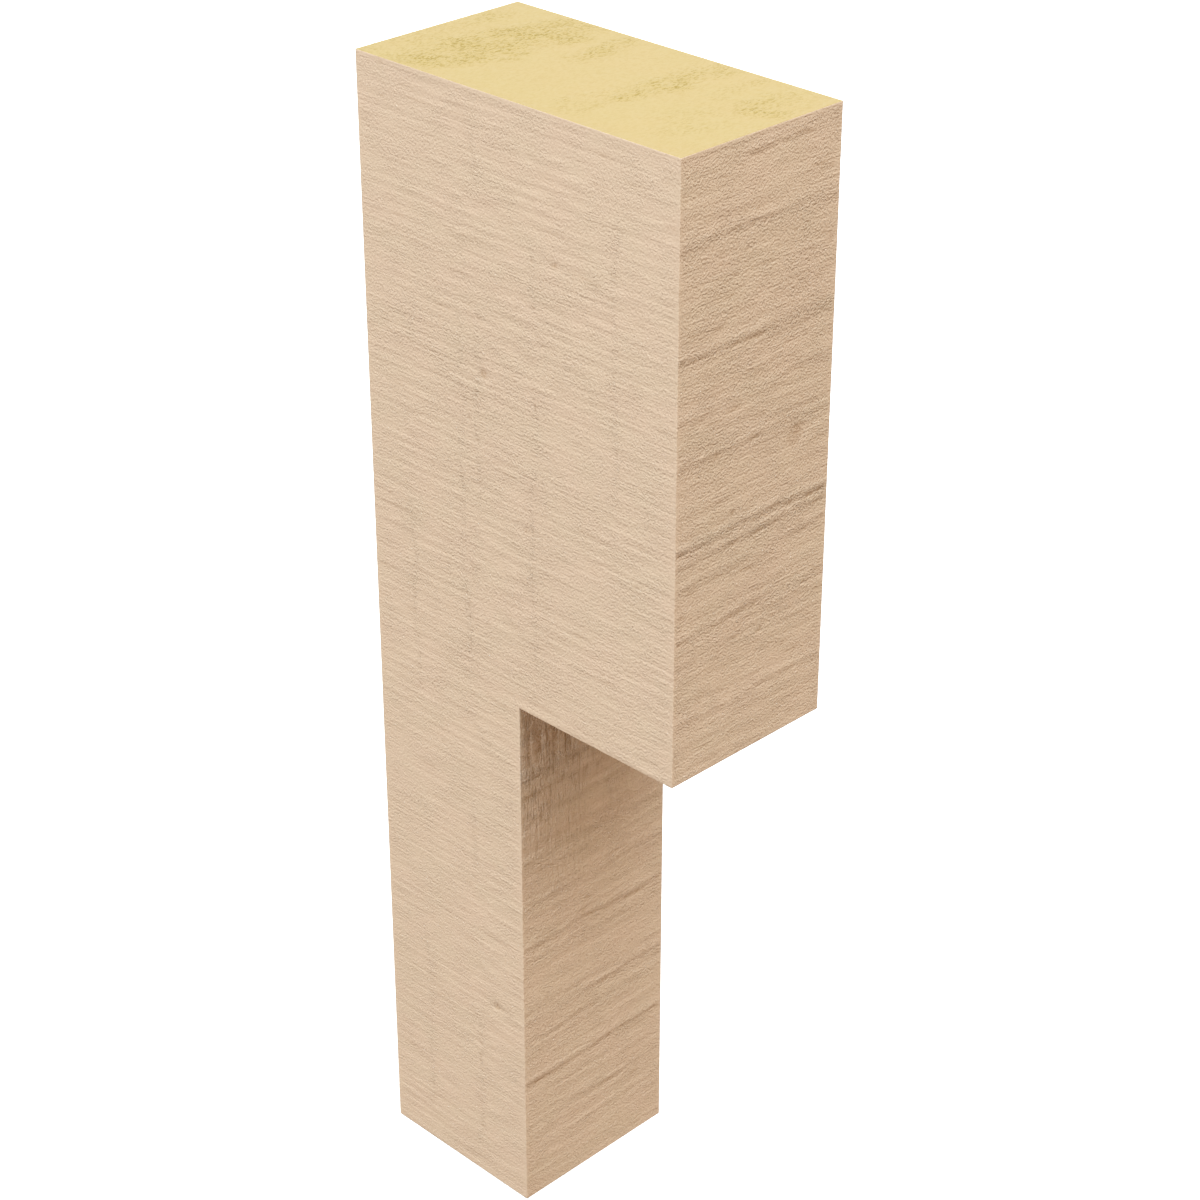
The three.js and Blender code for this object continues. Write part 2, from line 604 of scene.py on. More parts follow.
@dataclass(frozen=True)
class BareFoam(Relief):
    """Relief of a face of bare foam: smooth, with patches of open cells.

    Attributes:
        seed: Sets the random draws of this face.
        patches: The patches.
        base: How far the smooth foam lies below the face.
        depth: How deep the open cells are.
        least_open: How many cells are open outside the patches, from 0 to 1.
    """

    seed: int
    patches: tuple[Patch, ...]
    base: float = 0.08
    depth: float = 0.2
    least_open: float = 0.04

    STRAY = Bumps(0.0, ((4.0, 15.0, 21.0), (2.0, 5.0, 6.0)))
    UNEVEN = Bumps(0.75, ((0.5, 9.0, 13.0), (0.4, 4.0, 5.0)))
    CELLS = Bumps(0.0, ((1.0, 1.9, 2.6),), low=0.0)

    def fuzz(self, u: Array, v: Array) -> Array:
        """How many open cells there are at each point, from 0 to 1.

        Args:
            u: Distances along the face.
            v: Distances down or across the face.

        Returns:
            One value for each point.
        """
        grain = Grain(self.seed + self.FUZZ_SEED)
        stray = self.STRAY.at(grain, u, v)
        share = self.least_open + np.zeros_like(u)
        for patch in self.patches:
            share = np.maximum(share, patch.open_share(u, v, stray))
        return np.clip(share * self.UNEVEN.at(grain, u, v), 0.0, 1.0)

    def cut(self, u: Array, v: Array) -> Array:
        """Depth of the relief below the face at each point."""
        return self.base + self.depth * self.fuzz(u, v) * self.CELLS.at(Grain(self.seed), u, v)


@dataclass(frozen=True)
class FlatFoam(Relief):
    """A flat face of bare foam, with a few broad patches of open cells.

    Attributes:
        seed: Sets the random draws of this face.
    """

    seed: int

    CELLS = Bumps(0.25, ((0.5, 60.0, 45.0), (0.3, 20.0, 15.0)), 0.0, 1.0)

    def fuzz(self, u: Array, v: Array) -> Array:
        """How many open cells there are at each point, from 0 to 1."""
        return self.CELLS.at(Grain(self.seed), u, v)


Socket = bpy.types.NodeSocket
Source = Socket | float


class Sheet:
    """The nodes of one material, added one after the other."""

    # The gaps in the hairlines: their size, and the range of the noise over which a line comes back
    GAP_SIZE = (14.0, 14.0, 7.0)
    GAP_RANGE = (0.46, 0.6)

    # Where a mix node has its share and its two colours among its inputs, and the blend among its outputs
    MIX_INPUTS = (0, 6, 7)
    MIX_OUTPUT = 2

    def __init__(self, name: str) -> None:
        """Starts a material with a Principled shader.

        Args:
            name: The material's name.
        """
        self.material = bpy.data.materials.new(name)
        self.material.use_nodes = True
        self.tree = self.material.node_tree
        self.shader = self.tree.nodes["Principled BSDF"]
        self.place = self.add("ShaderNodeTexCoord").outputs["Object"]

    def add(self, kind: str) -> bpy.types.Node:
        """Adds a node of a kind."""
        return self.tree.nodes.new(kind)

    def feed(self, socket: Socket, source: Source | Colour) -> None:
        """Sets a socket to a value, or links it to where its value comes from.

        Args:
            socket: The socket.
            source: A value, a colour or another socket.
        """
        if isinstance(source, Socket):
            self.tree.links.new(source, socket)
        elif isinstance(source, tuple):
            socket.default_value = (*source, 1.0)
        else:
            socket.default_value = source

    def attribute(self, name: str) -> Socket:
        """A value that each vertex of the mesh carries.

        Args:
            name: The name of the value.

        Returns:
            The socket that gives it.
        """
        node = self.add("ShaderNodeAttribute")
        node.attribute_name = name
        return node.outputs["Fac"]

    def maths(self, operation: str, *sources: Source) -> Socket:
        """The result of a sum on some values.

        Args:
            operation: The name of the sum, as Blender has it.
            sources: What it works on.

        Returns:
            The socket that gives the result.
        """
        node = self.add("ShaderNodeMath")
        node.operation = operation
        for socket, source in zip(node.inputs, sources):
            self.feed(socket, source)
        return node.outputs[0]

    def stretch(self, source: Source, low: float, high: float, to_low: float, to_high: float) -> Socket:
        """A value moved from one range to another, and held inside it.

        Args:
            source: The value.
            low: Start of its own range.
            high: End of its own range.
            to_low: Start of the other range.
            to_high: End of the other range.

        Returns:
            The socket that gives the moved value.
        """
        node = self.add("ShaderNodeMapRange")
        for socket, given in zip(node.inputs, (source, low, high, to_low, to_high)):
            self.feed(socket, given)
        return node.outputs["Result"]

    def noise(self, size: Vec3, detail: float = 2.0, twist: float = 0.0, shift: float = 0.0) -> Socket:
        """Noise with bumps of a size along each axis.

        Args:
            size: Length of a bump along X, Y and Z in millimetres.
            detail: How many finer layers it has.
            twist: How far the bumps are pulled out of shape.
            shift: Moves the pattern, so that two of them differ.

        Returns:
            A value around a half.
        """
        scaled = self.add("ShaderNodeVectorMath")
        scaled.operation = "MULTIPLY_ADD"
        self.feed(scaled.inputs[0], self.place)
        scaled.inputs[1].default_value = [1.0 / (length * MM) for length in size]
        scaled.inputs[2].default_value = (shift, shift, shift)
        node = self.add("ShaderNodeTexNoise")
        self.feed(node.inputs["Vector"], scaled.outputs[0])
        node.inputs["Scale"].default_value = 1.0
        node.inputs["Detail"].default_value = detail
        node.inputs["Distortion"].default_value = twist
        return node.outputs["Fac"]

    def hairlines(self, size: Vec3, width: float, shift: float) -> Socket:
        """Thin broken level lines.

        Args:
            size: Length of the swell that each line goes round, along X, Y and Z in millimetres.
            width: How thick the lines are, as a share of the swell's height.
            shift: Moves the pattern, so that two of them differ.

        Returns:
            1 in the middle of a line, and 0 beside it.
        """
        off = self.maths("ABSOLUTE", self.maths("SUBTRACT", self.noise(size, detail=1.0, shift=shift), 0.5))
        line = self.stretch(off, 0.0, width, 1.0, 0.0)
        gaps = self.noise(self.GAP_SIZE, detail=3.0, shift=shift + 3.0)
        return self.maths("MULTIPLY", line, self.stretch(gaps, *self.GAP_RANGE, 0.0, 1.0))

    def blend(self, share: Source, first: Source | Colour, second: Source | Colour) -> Socket:
        """A colour between two others.

        Args:
            share: How much there is of the second colour, from 0 to 1.
            first: The first colour.
            second: The second colour.

        Returns:
            The socket that gives the blend.
        """
        node = self.add("ShaderNodeMix")
        node.data_type = "RGBA"
        for place, source in zip(self.MIX_INPUTS, (share, first, second)):
            self.feed(node.inputs[place], source)
        return node.outputs[self.MIX_OUTPUT]

    def bump(self, height: Socket, depth: float) -> None:
        """Gives the shader fine relief of a depth in millimetres.

        Args:
            height: The height, from 0 to 1.
            depth: The depth of the whole relief.
        """
        node = self.add("ShaderNodeBump")
        node.inputs["Strength"].default_value = 1.0
        node.inputs["Distance"].default_value = depth * MM
        self.feed(node.inputs["Height"], height)
        self.feed(self.shader.inputs["Normal"], node.outputs["Normal"])


@dataclass(frozen=True)
class PrimedFoam:
    """Matt tan primer over moulded foam.

    Attributes:
        name: The material's name.
        grain: Length of a grain of the fuzz along X, Y and Z.
        streak: Length of a fine saw line along X, Y and Z.
        twist: How far the grains are pulled out of shape.
        relief: Full height of the fine relief.
        streak_share: How much of the fine relief is lines and not grains.
        fine_shade: How much painted shade darkens the fine hollows of the bump.
        hairline: How deep the thin broken lines are, and how dark their painted shade is, from 0 to 1.
        shade: How much painted shade darkens the deepest cuts.
        shade_from: How deep a cut must be to get any painted shade, as a share of the deepest.
        stain: How much darker the faint level stains are.
        colour: The primer's own colour.
        shade_and_stain_colour: The colour that the painted shade in the cuts and hollows, and the faint
            stains, blend towards.
        rosy_colour: Its colour in the faint warmer patches.
        ripple: Length of an upright ripple along X, Y and Z.
        ripple_shade: How much painted shade darkens the hollows between the ripples.
    """

    name: str
    grain: Vec3
    streak: Vec3
    twist: float
    relief: float
    streak_share: float
    fine_shade: float
    hairline: float
    shade: float
    shade_from: float
    stain: float
    colour: Colour = (0.668, 0.478, 0.332)
    shade_and_stain_colour: Colour = (0.44, 0.262, 0.148)
    rosy_colour: Colour = (0.676, 0.474, 0.333)
    ripple: Vec3 = (1.2, 40.0, 11.0)
    ripple_shade: float = 0.45

    # Sizes of the broad patterns along X, Y and Z
    HAIRLINE_SWELL = (120.0, 120.0, 6.0)
    STAIN_SIZE = (42.0, 42.0, 7.0)
    MOTTLE_SIZE = (24.0, 24.0, 16.0)

    # Thickness and depth of a hairline, as shares of its swell and of the relief
    HAIRLINE_WIDTH = 0.016
    HAIRLINE_DEPTH = 0.12

    # Ranges that are stretched to other ranges: the fuzz to the relief, the grains to a share of the painted
    # shade
    FUZZ_TO_RELIEF = (0.0, 1.6, 0.25, 1.5)
    GRAINS_TO_SHADE = (0.4, 0.6, 1.6, 0.4)
    GRAINS_TO_ROUGHNESS = (0.3, 0.7, 0.92, 0.78)

    # The ranges of noise that count as a fine hollow and a hollow between ripples, which both get painted
    # shade, a stain and a warm patch
    FINE_HOLLOW = (0.32, 0.5)
    RIPPLE_HOLLOW = (0.32, 0.46)
    STAINED = (0.5, 0.7)
    ROSY = (0.35, 0.65)

    DEEPEST_RIPPLE = 1.3
    SHEEN = 0.25

    def material(self) -> bpy.types.Material:
        """Makes the material.

        Returns:
            The material, with fuzz, lines and stains in its colour and its bump, and painted shade in the
            colour of its hollows, grooves and cuts.
        """
        sheet = Sheet(self.name)
        grains = sheet.noise(self.grain, detail=1.8, twist=self.twist)
        streaks = sheet.noise(self.streak, detail=1.0, shift=17.0)
        fine = sheet.maths("MULTIPLY", grains, 1.0 - self.streak_share)
        fine = sheet.maths("MULTIPLY_ADD", streaks, self.streak_share, fine)
        strength = sheet.stretch(sheet.attribute("fuzz"), *self.FUZZ_TO_RELIEF)
        ripples = sheet.noise(self.ripple, detail=1.0, shift=29.0)
        rippled = sheet.attribute("ripple")
        upright = sheet.maths("MULTIPLY", ripples, sheet.maths("MINIMUM", rippled, self.DEEPEST_RIPPLE))
        height = sheet.maths("MULTIPLY_ADD", fine, strength, upright)
        hairs = sheet.hairlines(self.HAIRLINE_SWELL, self.HAIRLINE_WIDTH, shift=41.0)
        hairs = sheet.maths("MULTIPLY", hairs, self.hairline)
        sheet.bump(sheet.maths("MULTIPLY_ADD", hairs, -self.HAIRLINE_DEPTH, height), self.relief)
        # Painted shade: the fine hollows of the bump and the thin broken grooves are darkened in the colour
        low = sheet.maths("MULTIPLY", sheet.stretch(fine, *self.FINE_HOLLOW, self.fine_shade, 0.0), strength)
        low = sheet.maths("MAXIMUM", low, hairs)
        # Painted shade in the hollows between the upright ripples
        hollows = sheet.stretch(ripples, *self.RIPPLE_HOLLOW, self.ripple_shade, 0.0)
        low = sheet.maths("MULTIPLY_ADD", hollows, rippled, low)
        # Painted shade in the deepest cuts and pits, broken up by the grains; the faint stains added next are
        # real tone
        deep = sheet.stretch(sheet.attribute("hollow"), self.shade_from, 1.0, 0.0, self.shade)
        deep = sheet.maths("MULTIPLY", deep, sheet.stretch(grains, *self.GRAINS_TO_SHADE))
        stains = sheet.noise(self.STAIN_SIZE, detail=3.0, shift=53.0)
        deep = sheet.maths("ADD", deep, sheet.stretch(stains, *self.STAINED, 0.0, self.stain))
        mottle = sheet.noise(self.MOTTLE_SIZE, detail=3.0, shift=5.0)
        mottle = sheet.stretch(mottle, *self.ROSY, 0.0, 1.0)
        tone = sheet.blend(mottle, self.colour, self.rosy_colour)
        # Blends the painted shade of the hollows and cuts, and the real stains, into the tone
        tone = sheet.blend(sheet.maths("ADD", low, deep), tone, self.shade_and_stain_colour)
        sheet.feed(sheet.shader.inputs["Base Color"], tone)
        sheet.feed(sheet.shader.inputs["Roughness"], sheet.stretch(grains, *self.GRAINS_TO_ROUGHNESS))
        sheet.shader.inputs["Specular IOR Level"].default_value = self.SHEEN
        return sheet.material


@dataclass(frozen=True)
class OpenFoam:
    """Bare pale yellow foam, with darker specks where its cells are open, partly their own tone and partly
    painted shade.

    Attributes:
        name: The material's name.
        colour: The foam's own colour.
        warm_colour: Its colour in the faint warmer patches.
        shaded_colour: Its colour across the patches of open cells, a painted shade of their many small
            hollows.
        cell_tone_and_shade_colour: The colour inside its open cells, partly their own darker golden tone and
            partly painted shade.
        cell: Length of an open cell along X, Y and Z.
        relief: Depth of the open cells.
    """

    name: str
    colour: Colour = (0.504, 0.342, 0.137)
    warm_colour: Colour = (0.510, 0.341, 0.139)
    shaded_colour: Colour = (0.490, 0.325, 0.112)
    cell_tone_and_shade_colour: Colour = (0.34, 0.218, 0.042)
    cell: Vec3 = (1.9, 1.0, 1.6)
    relief: float = 0.7

    MOTTLE_SIZE = (30.0, 30.0, 30.0)

    # Ranges of noise: an open cell, deepest first, and a warm patch
    OPEN_CELL = (0.5, 0.36)
    WARM = (0.35, 0.65)

    # Ranges that are stretched to other ranges: the share of open cells to their strength and to a painted
    # shade
    SHARE_TO_STRENGTH = (0.0, 1.0, 0.05, 1.0)
    SHARE_TO_SHADE = (0.1, 1.0, 0.0, 1.0)
    CELLS_TO_ROUGHNESS = (0.3, 0.7, 0.9, 0.7)

    SHEEN = 0.25

    def material(self) -> bpy.types.Material:
        """Makes the material.

        Returns:
            The material, with open cells in its bump, and in its colour as their own tone and as painted
            shade in them and over their patches.
        """
        sheet = Sheet(self.name)
        cells = sheet.noise(self.cell, detail=1.5, twist=0.4)
        open_share = sheet.attribute("fuzz")
        some = sheet.stretch(open_share, *self.SHARE_TO_STRENGTH)
        sheet.bump(sheet.maths("MULTIPLY", cells, some), self.relief)
        mottle = sheet.stretch(sheet.noise(self.MOTTLE_SIZE, detail=3.0, shift=9.0), *self.WARM, 0.0, 1.0)
        tone = sheet.blend(mottle, self.colour, self.warm_colour)
        # Painted shade over the patches of open cells
        tone = sheet.blend(sheet.stretch(open_share, *self.SHARE_TO_SHADE), tone, self.shaded_colour)
        # The open cells lie in the low places of the bump, and their darker colour is partly painted shade
        specks = sheet.stretch(cells, *self.OPEN_CELL, 0.0, 1.0)
        tone = sheet.blend(sheet.maths("MULTIPLY", specks, some), tone, self.cell_tone_and_shade_colour)
        sheet.feed(sheet.shader.inputs["Base Color"], tone)
        sheet.feed(sheet.shader.inputs["Roughness"], sheet.stretch(cells, *self.CELLS_TO_ROUGHNESS))
        sheet.shader.inputs["Specular IOR Level"].default_value = self.SHEEN
        return sheet.material


Coat = PrimedFoam | OpenFoam


@dataclass(frozen=True)
class Stations:
    """Where the rows and columns of the mesh stand, shared by the faces that meet at an arris.

    Attributes:
        ring: Distances from an arris at which a row or column always stands.
        row_step: Distance between rows down the height.
        column_step: Distance between columns across a front face.
        open_step: Distance between columns on a side, away from the tracks.
        crowding: How many more columns stand at a track, as a share of those away from it.
        track_reach: How far from a track its columns crowd together.
    """

    ring: Vec2 = (0.35, 1.0)
    row_step: float = 1.27
    column_step: float = 1.9
    open_step: float = 5.2
    crowding: float = 3.4
    track_reach: float = 3.2

    # How many places the crowding is worked out at
    SAMPLES = 400

    def between(self, start: float, end: float, step: float) -> Array:
        """Even stations from one arris to the next, with the rings beside both.

        Args:
            start: The first arris.
            end: The last arris.
            step: The distance between stations.

        Returns:
            The stations, from start to end.
        """
        low, high = start + self.ring[1], end - self.ring[1]
        middle = np.linspace(low, high, round((high - low) / step) + 1)
        return np.array([start, start + self.ring[0], *middle, end - self.ring[0], end])

    def crowded(self, start: float, end: float, centres: Array) -> Array:
        """Stations from one arris to the next that crowd together at some centres.

        Args:
            start: The first arris.
            end: The last arris.
            centres: Where the stations crowd.

        Returns:
            The stations, from start to end, with the rings beside both.
        """
        low, high = start + self.ring[1], end - self.ring[1]
        fine = np.linspace(low, high, self.SAMPLES)
        near = sum(hump(fine - centre, self.track_reach) for centre in centres)
        density = (1.0 + self.crowding * np.minimum(near, 1.0)) / self.open_step
        count = np.concatenate([[0.0], np.cumsum((density[1:] + density[:-1]) / 2 * np.diff(fine))])
        middle = np.interp(np.linspace(0.0, count[-1], round(count[-1]) + 1), count, fine)
        return np.array([start, start + self.ring[0], *middle, end - self.ring[0], end])


@dataclass(frozen=True)
class Panel:
    """One flat face of the corbel as a grid, before its relief.

    Attributes:
        name: What the face is called.
        corner: Where u and v are both 0.
        along: The way u runs.
        across: The way v runs.
        outward: The way the face looks.
        us: Stations along u.
        vs: Stations along v.
        relief: The relief of the face.
        finish: The finish of the face.
        room: How far each point is from the nearest edge of the face.
        keep: Which cells belong to the face, by the lowest u and v of each.
        coarse: How many cells are joined into one away from the edges, along u and along v.
    """

    name: str
    corner: Vec3
    along: Vec3
    across: Vec3
    outward: Vec3
    us: Array
    vs: Array
    relief: Relief
    finish: Finish
    room: Callable[[Array, Array], Array]
    keep: Callable[[float, float], bool] = lambda u, v: True
    coarse: tuple[int, int] = (1, 1)

    # How far below the middle depth a cut has its darkest painted shade, and the share of fuzz left on an
    # arris
    DARKEST_CUT = 0.6
    ARRIS_FUZZ = 0.35

    def flat_points(self) -> Array:
        """The grid's points on the flat face, row after row of equal u.

        Returns:
            One point in each row of the array.
        """
        u, v = np.meshgrid(self.us, self.vs, indexing="ij")
        steps = u[..., None] * np.array(self.along) + v[..., None] * np.array(self.across)
        return (np.array(self.corner) + steps).reshape(-1, 3)

    def holds(self, points: Array) -> Array:
        """Which points lie on the face or on its edges.

        Args:
            points: Points on the faces of the corbel.

        Returns:
            One yes or no for each point.
        """
        offset = points - np.array(self.corner)
        u, v, off = (offset @ np.array(way) for way in (self.along, self.across, self.outward))
        return (np.abs(off) < SAME_PLACE) & (self.room(u, v) > -SAME_PLACE)

    def depths(self, margin: float) -> tuple[Array, dict[str, Array]]:
        """The relief at each point of the grid.

        Args:
            margin: How far from an edge the relief starts to fade.

        Returns:
            The move along the outward way, and the values that the finishes read at each point.
        """
        u, v = (grid.reshape(-1) for grid in np.meshgrid(self.us, self.vs, indexing="ij"))
        # None of the relief is kept on an edge, where its fade starts level, and all of it from the margin on
        kept = 2.0 * ease(0.5 * np.clip(self.room(u, v) / margin, 0.0, 1.0))
        cut = np.maximum(self.relief.cut(u, v), 0.0)
        # How deep each point lies below the middle depth, which the primer turns into painted shade
        hollow = np.clip((cut - np.median(cut)) / self.DARKEST_CUT, -1.0, 1.0)
        values = {
            "fuzz": self.relief.fuzz(u, v) * (self.ARRIS_FUZZ + (1.0 - self.ARRIS_FUZZ) * kept),
            "hollow": hollow * kept,
            "ripple": self.relief.ripple(u, v) * kept,
        }
        return cut * kept, values

    def rings(self) -> list[list[int]]:
        """The corners of each polygon as points of the grid, counter-clockwise from outside.

        Returns:
            One list of corners for each polygon.
        """
        polygons = []
        for i0, i1, inner_u in self.spans(len(self.us), self.coarse[0]):
            for j0, j1, inner_v in self.spans(len(self.vs), self.coarse[1]):
                if self.keep(self.us[i0], self.vs[j0]):
                    polygons += self.cell(i0, i1, j0, j1, inner_u and inner_v)
        turned = np.dot(np.cross(self.along, self.across), self.outward) < 0
        return [polygon[::-1] for polygon in polygons] if turned else polygons

    def spans(self, count: int, step: int) -> list[tuple[int, int, bool]]:
        """Splits a row of stations into spans: single cells in the rings, longer ones between them.

        Args:
            count: How many stations there are.
            step: How many cells a longer span takes in.

        Returns:
            The first and last station of each span, and whether it lies inside the rings.
        """
        first, last = len(Stations.ring), count - 1 - len(Stations.ring)
        breaks = [*range(first), *range(first, last, step), *range(last, count)]
        return [(a, b, first <= a and b <= last) for a, b in zip(breaks, breaks[1:])]

    def cell(self, i0: int, i1: int, j0: int, j1: int, inner: bool) -> list[list[int]]:
        """The polygons of one span of cells.

        Args:
            i0: First station along u.
            i1: Last station along u.
            j0: First station along v.
            j1: Last station along v.
            inner: Whether the span lies inside the rings, where its cells are joined.

        Returns:
            One polygon with every point that its neighbours in the rings have, or one for each cell.
        """
        wide, count = len(self.vs), len(self.us)
        edge = len(Stations.ring)

        def at(i: int, j: int) -> int:
            """The number of a point of the grid."""
            return i * wide + j

        if not inner:
            return [
                [at(i, j), at(i + 1, j), at(i + 1, j + 1), at(i, j + 1)]
                for i in range(i0, i1)
                for j in range(j0, j1)
            ]
        low = range(i0, i1) if j0 == edge else [i0]
        right = range(j0, j1) if i1 == count - 1 - edge else [j0]
        high = range(i1, i0, -1) if j1 == wide - 1 - edge else [i1]
        left = range(j1, j0, -1) if i0 == edge else [j1]
        ring = [at(i, j0) for i in low] + [at(i1, j) for j in right]
        return [ring + [at(i, j1) for i in high] + [at(i0, j) for j in left]]


@dataclass(frozen=True)
class Corbel:
    """The corbel as one closed mesh.

    Attributes:
        form: Its sizes.
        finishes: What each of its finishes is made of.
        stations: Where the rows and columns of the mesh stand.
        arris: How far each arris is drawn in, which rounds it.
        margin: How far from an arris the relief starts to fade.
    """

    form: Form
    finishes: dict[Finish, Coat]
    stations: Stations = Stations()
    arris: float = 0.1
    margin: float = 1.6

    # Names of the two faces that meet in the notch below the block
    LEG_FRONT = "leg front"
    SOFFIT = "underside of the block"

    # Marks of the saw that the photograph shows
    TRACKS = (
        Track(29.0, 205.0, 322.0, 1.3, 0.3),
        Track(29.0, 470.0, 585.0, 1.3, 0.22),
        Track(66.0, 108.0, 290.0, 1.4, 0.34),
        Track(67.0, 372.0, 420.0, 1.3, 0.24),
        Track(68.0, 505.0, 592.0, 1.6, 0.34),
        Track(77.0, 18.0, 42.0, 1.3, 0.3),
        Track(77.0, 104.0, 200.0, 1.3, 0.28),
        Track(72.0, 215.0, 245.0, 3.5, 0.28),
        Track(114.0, 62.0, 94.0, 1.2, 0.28),
        Track(115.0, 134.0, 162.0, 1.4, 0.3),
        Track(113.0, 172.0, 276.0, 1.3, 0.28),
        Track(166.0, 32.0, 176.0, 1.4, 0.2),
    )
    SIDE_PITS = (
        Pit(81.0, 136.0, 2.2, 1.7),
        Pit(127.0, 69.0, 1.6, 1.3),
        Pit(70.4, 161.0, 0.9, 1.3),
        Pit(152.0, 292.0, 1.6, 1.3),
        Pit(108.0, 206.0, 3.2, 0.5),
        Pit(178.0, 118.0, 1.6, 1.0),
        Pit(45.0, 348.0, 1.5, 0.5),
        Pit(81.0, 494.0, 2.2, 1.5),
        Pit(38.0, 436.0, 1.2, 0.5),
    )
    SCORES = (
        Score(12.0, 0.35, 40.0, 80.0, -0.08),
        Score(41.0, 0.5, slope=-0.01, end=60.0, reach=1.2),
        Score(39.0, 0.35, 45.0, 84.0, 0.02, reach=1.2),
        Score(93.0, 0.5, end=62.0, reach=1.2),
        Score(91.0, 0.3, 52.0, reach=1.2),
        Score(119.0, 0.4, 66.0, slope=-0.02, reach=1.0),
        Score(137.0, 0.3, 60.0, reach=1.0),
        Score(143.0, 0.5, end=66.0, slope=-0.01, reach=1.2),
        Score(182.0, 0.75, 34.0, slope=0.01, reach=2.4),
        Score(184.0, 0.5, end=20.0, reach=1.6),
        Score(191.0, 0.65, 12.0, reach=1.6, slope=-0.01),
        Score(203.0, 0.4, slope=-0.03, reach=1.0),
        Score(229.0, 0.4, slope=-0.01, reach=1.4),
        Score(274.0, 0.3, reach=1.4),
    )
    LEG_SCORES = (
        Score(19.0, 0.4, end=24.0, reach=1.0),
        Score(41.5, 1.0, end=48.0, reach=1.2),
        Score(54.0, 0.3, end=70.0, reach=1.0),
        Score(69.0, 0.4, end=90.0, slope=-0.04, reach=1.0),
        Score(93.0, 0.35, 50.0, reach=1.0),
        Score(118.0, 0.4, reach=1.0),
        Score(144.0, 0.6, reach=1.4),
        Score(153.0, 0.35, end=80.0, slope=0.02, reach=1.0),
        Score(183.0, 0.3, end=50.0, reach=1.0),
        Score(190.0, 0.7, 45.0, reach=2.2),
        Score(203.0, 0.5, 5.0, 52.0, reach=1.4),
        Score(229.0, 0.6, slope=-0.01, reach=1.4),
        Score(258.0, 0.35, reach=1.0),
        Score(276.0, 0.35, 30.0, reach=1.0),
    )
    BLOCK_STRENGTHS = ((0.0, 0.7), (80.0, 1.0))
    LEG_STRENGTHS = ((0.0, 1.9), (190.0, 1.0))
    # The gouges and ripples near the top of the leg are relief, with painted shade between the ripples that
    # is darkest just under the block
    LEG_GOUGED = ((11.0, 0.0), (21.0, 1.0), (38.0, 1.0), (42.0, 0.0))
    LEG_RIPPLED = ((19.5, 1.12), (149.5, 0.12))
    FRONT_PITS = (
        Pit(79.0, 151.0, 6.5, 0.55),
        Pit(86.0, 158.0, 5.0, -0.35),
        Pit(37.6, 176.0, 1.3, 1.0),
        Pit(98.0, 62.0, 2.0, 0.9),
        Pit(13.5, 125.0, 1.2, 0.6),
        Pit(58.0, 244.0, 1.3, 0.6),
    )
    TOP_PATCHES = (
        Patch(9.0, 40.0, 9.0, 48.0, 0.35),
        Patch(42.0, 52.0, 19.0, 56.0, 1.0, 0.17),
        Patch(80.0, 82.0, 6.0, 26.0, 0.7),
        Patch(126.0, 22.0, 10.0, 24.0, 0.3),
        Patch(135.0, 72.0, 8.0, 38.0, 0.9),
        Patch(160.0, 78.0, 5.0, 28.0, 0.3),
        Patch(187.0, 78.0, 10.0, 22.0, 0.65),
        Patch(176.0, 34.0, 15.0, 22.0, 0.25),
    )

    def panels(self) -> list[Panel]:
        """The eight flat faces of the corbel, with their reliefs and finishes.

        Returns:
            The panels, each with stations that match those of its neighbours.
        """
        form, left = self.form, -self.form.width / 2
        centres = np.array(sorted({track.at for track in self.TRACKS}))
        inner = self.stations.crowded(0.0, form.leg_depth, centres)
        outer = self.stations.crowded(form.leg_depth, form.block_depth, centres)
        out = np.concatenate([inner, outer[1:]])
        wide = self.stations.between(0.0, form.width, self.stations.column_step)
        upper = self.stations.between(0.0, form.block_height, self.stations.row_step)
        lower = self.stations.between(form.block_height, form.height, self.stations.row_step)
        down = np.concatenate([upper, lower[1:]])
        across, outwards, downwards = (1.0, 0.0, 0.0), (0.0, -1.0, 0.0), (0.0, 0.0, -1.0)
        block_relief = ScoredFront(110, self.SCORES, self.FRONT_PITS, strengths=self.BLOCK_STRENGTHS)
        leg_relief = ScoredFront(
            seed=210, scores=self.LEG_SCORES, roughness=0.72, lines=1.15, strengths=self.LEG_STRENGTHS,
            gouged=self.LEG_GOUGED, rippled=self.LEG_RIPPLED,
        )

        def side(name: str, sign: float, relief: SawnSide) -> Panel:
            """The side that looks along +X or -X.

            Args:
                name: What it is called.
                sign: 1 or -1, the way it looks.
                relief: Its relief.

            Returns:
                The panel.
            """
            return Panel(
                name, (sign * form.width / 2, 0.0, form.top), outwards, downwards, (sign, 0.0, 0.0),
                out, down, relief, Finish.SIDE, self.room_on_side,
                keep=lambda u, v: u < form.leg_depth or v < form.block_height,
            )

        def front(name: str, depth: float, drop: float, rows: Array, relief: ScoredFront) -> Panel:
            """A front face, at a depth out from the wall and a drop down from the top.

            Args:
                name: What it is called.
                depth: How far it stands out from the wall.
                drop: How far its top is below the corbel's.
                rows: Stations down the corbel, from its top to its foot.
                relief: Its relief.

            Returns:
                The panel.
            """
            return Panel(
                name, (left, -depth, form.top - drop), across, downwards, outwards,
                wide, rows - rows[0], relief, Finish.FRONT, self.room_in(form.width, rows[-1] - rows[0]),
            )

        def under(name: str, start: float, level: float, columns: Array, relief: Relief) -> Panel:
            """A face that looks down, from a start out from the wall.

            Args:
                name: What it is called.
                start: How far out from the wall it starts.
                level: Its level.
                columns: Stations out from the wall, from its start to its end.
                relief: Its relief.

            Returns:
                The panel.
            """
            return Panel(
                name, (left, -start, level), across, outwards, downwards,
                wide, columns - start, relief, Finish.SIDE, self.room_in(form.width, columns[-1] - start),
            )

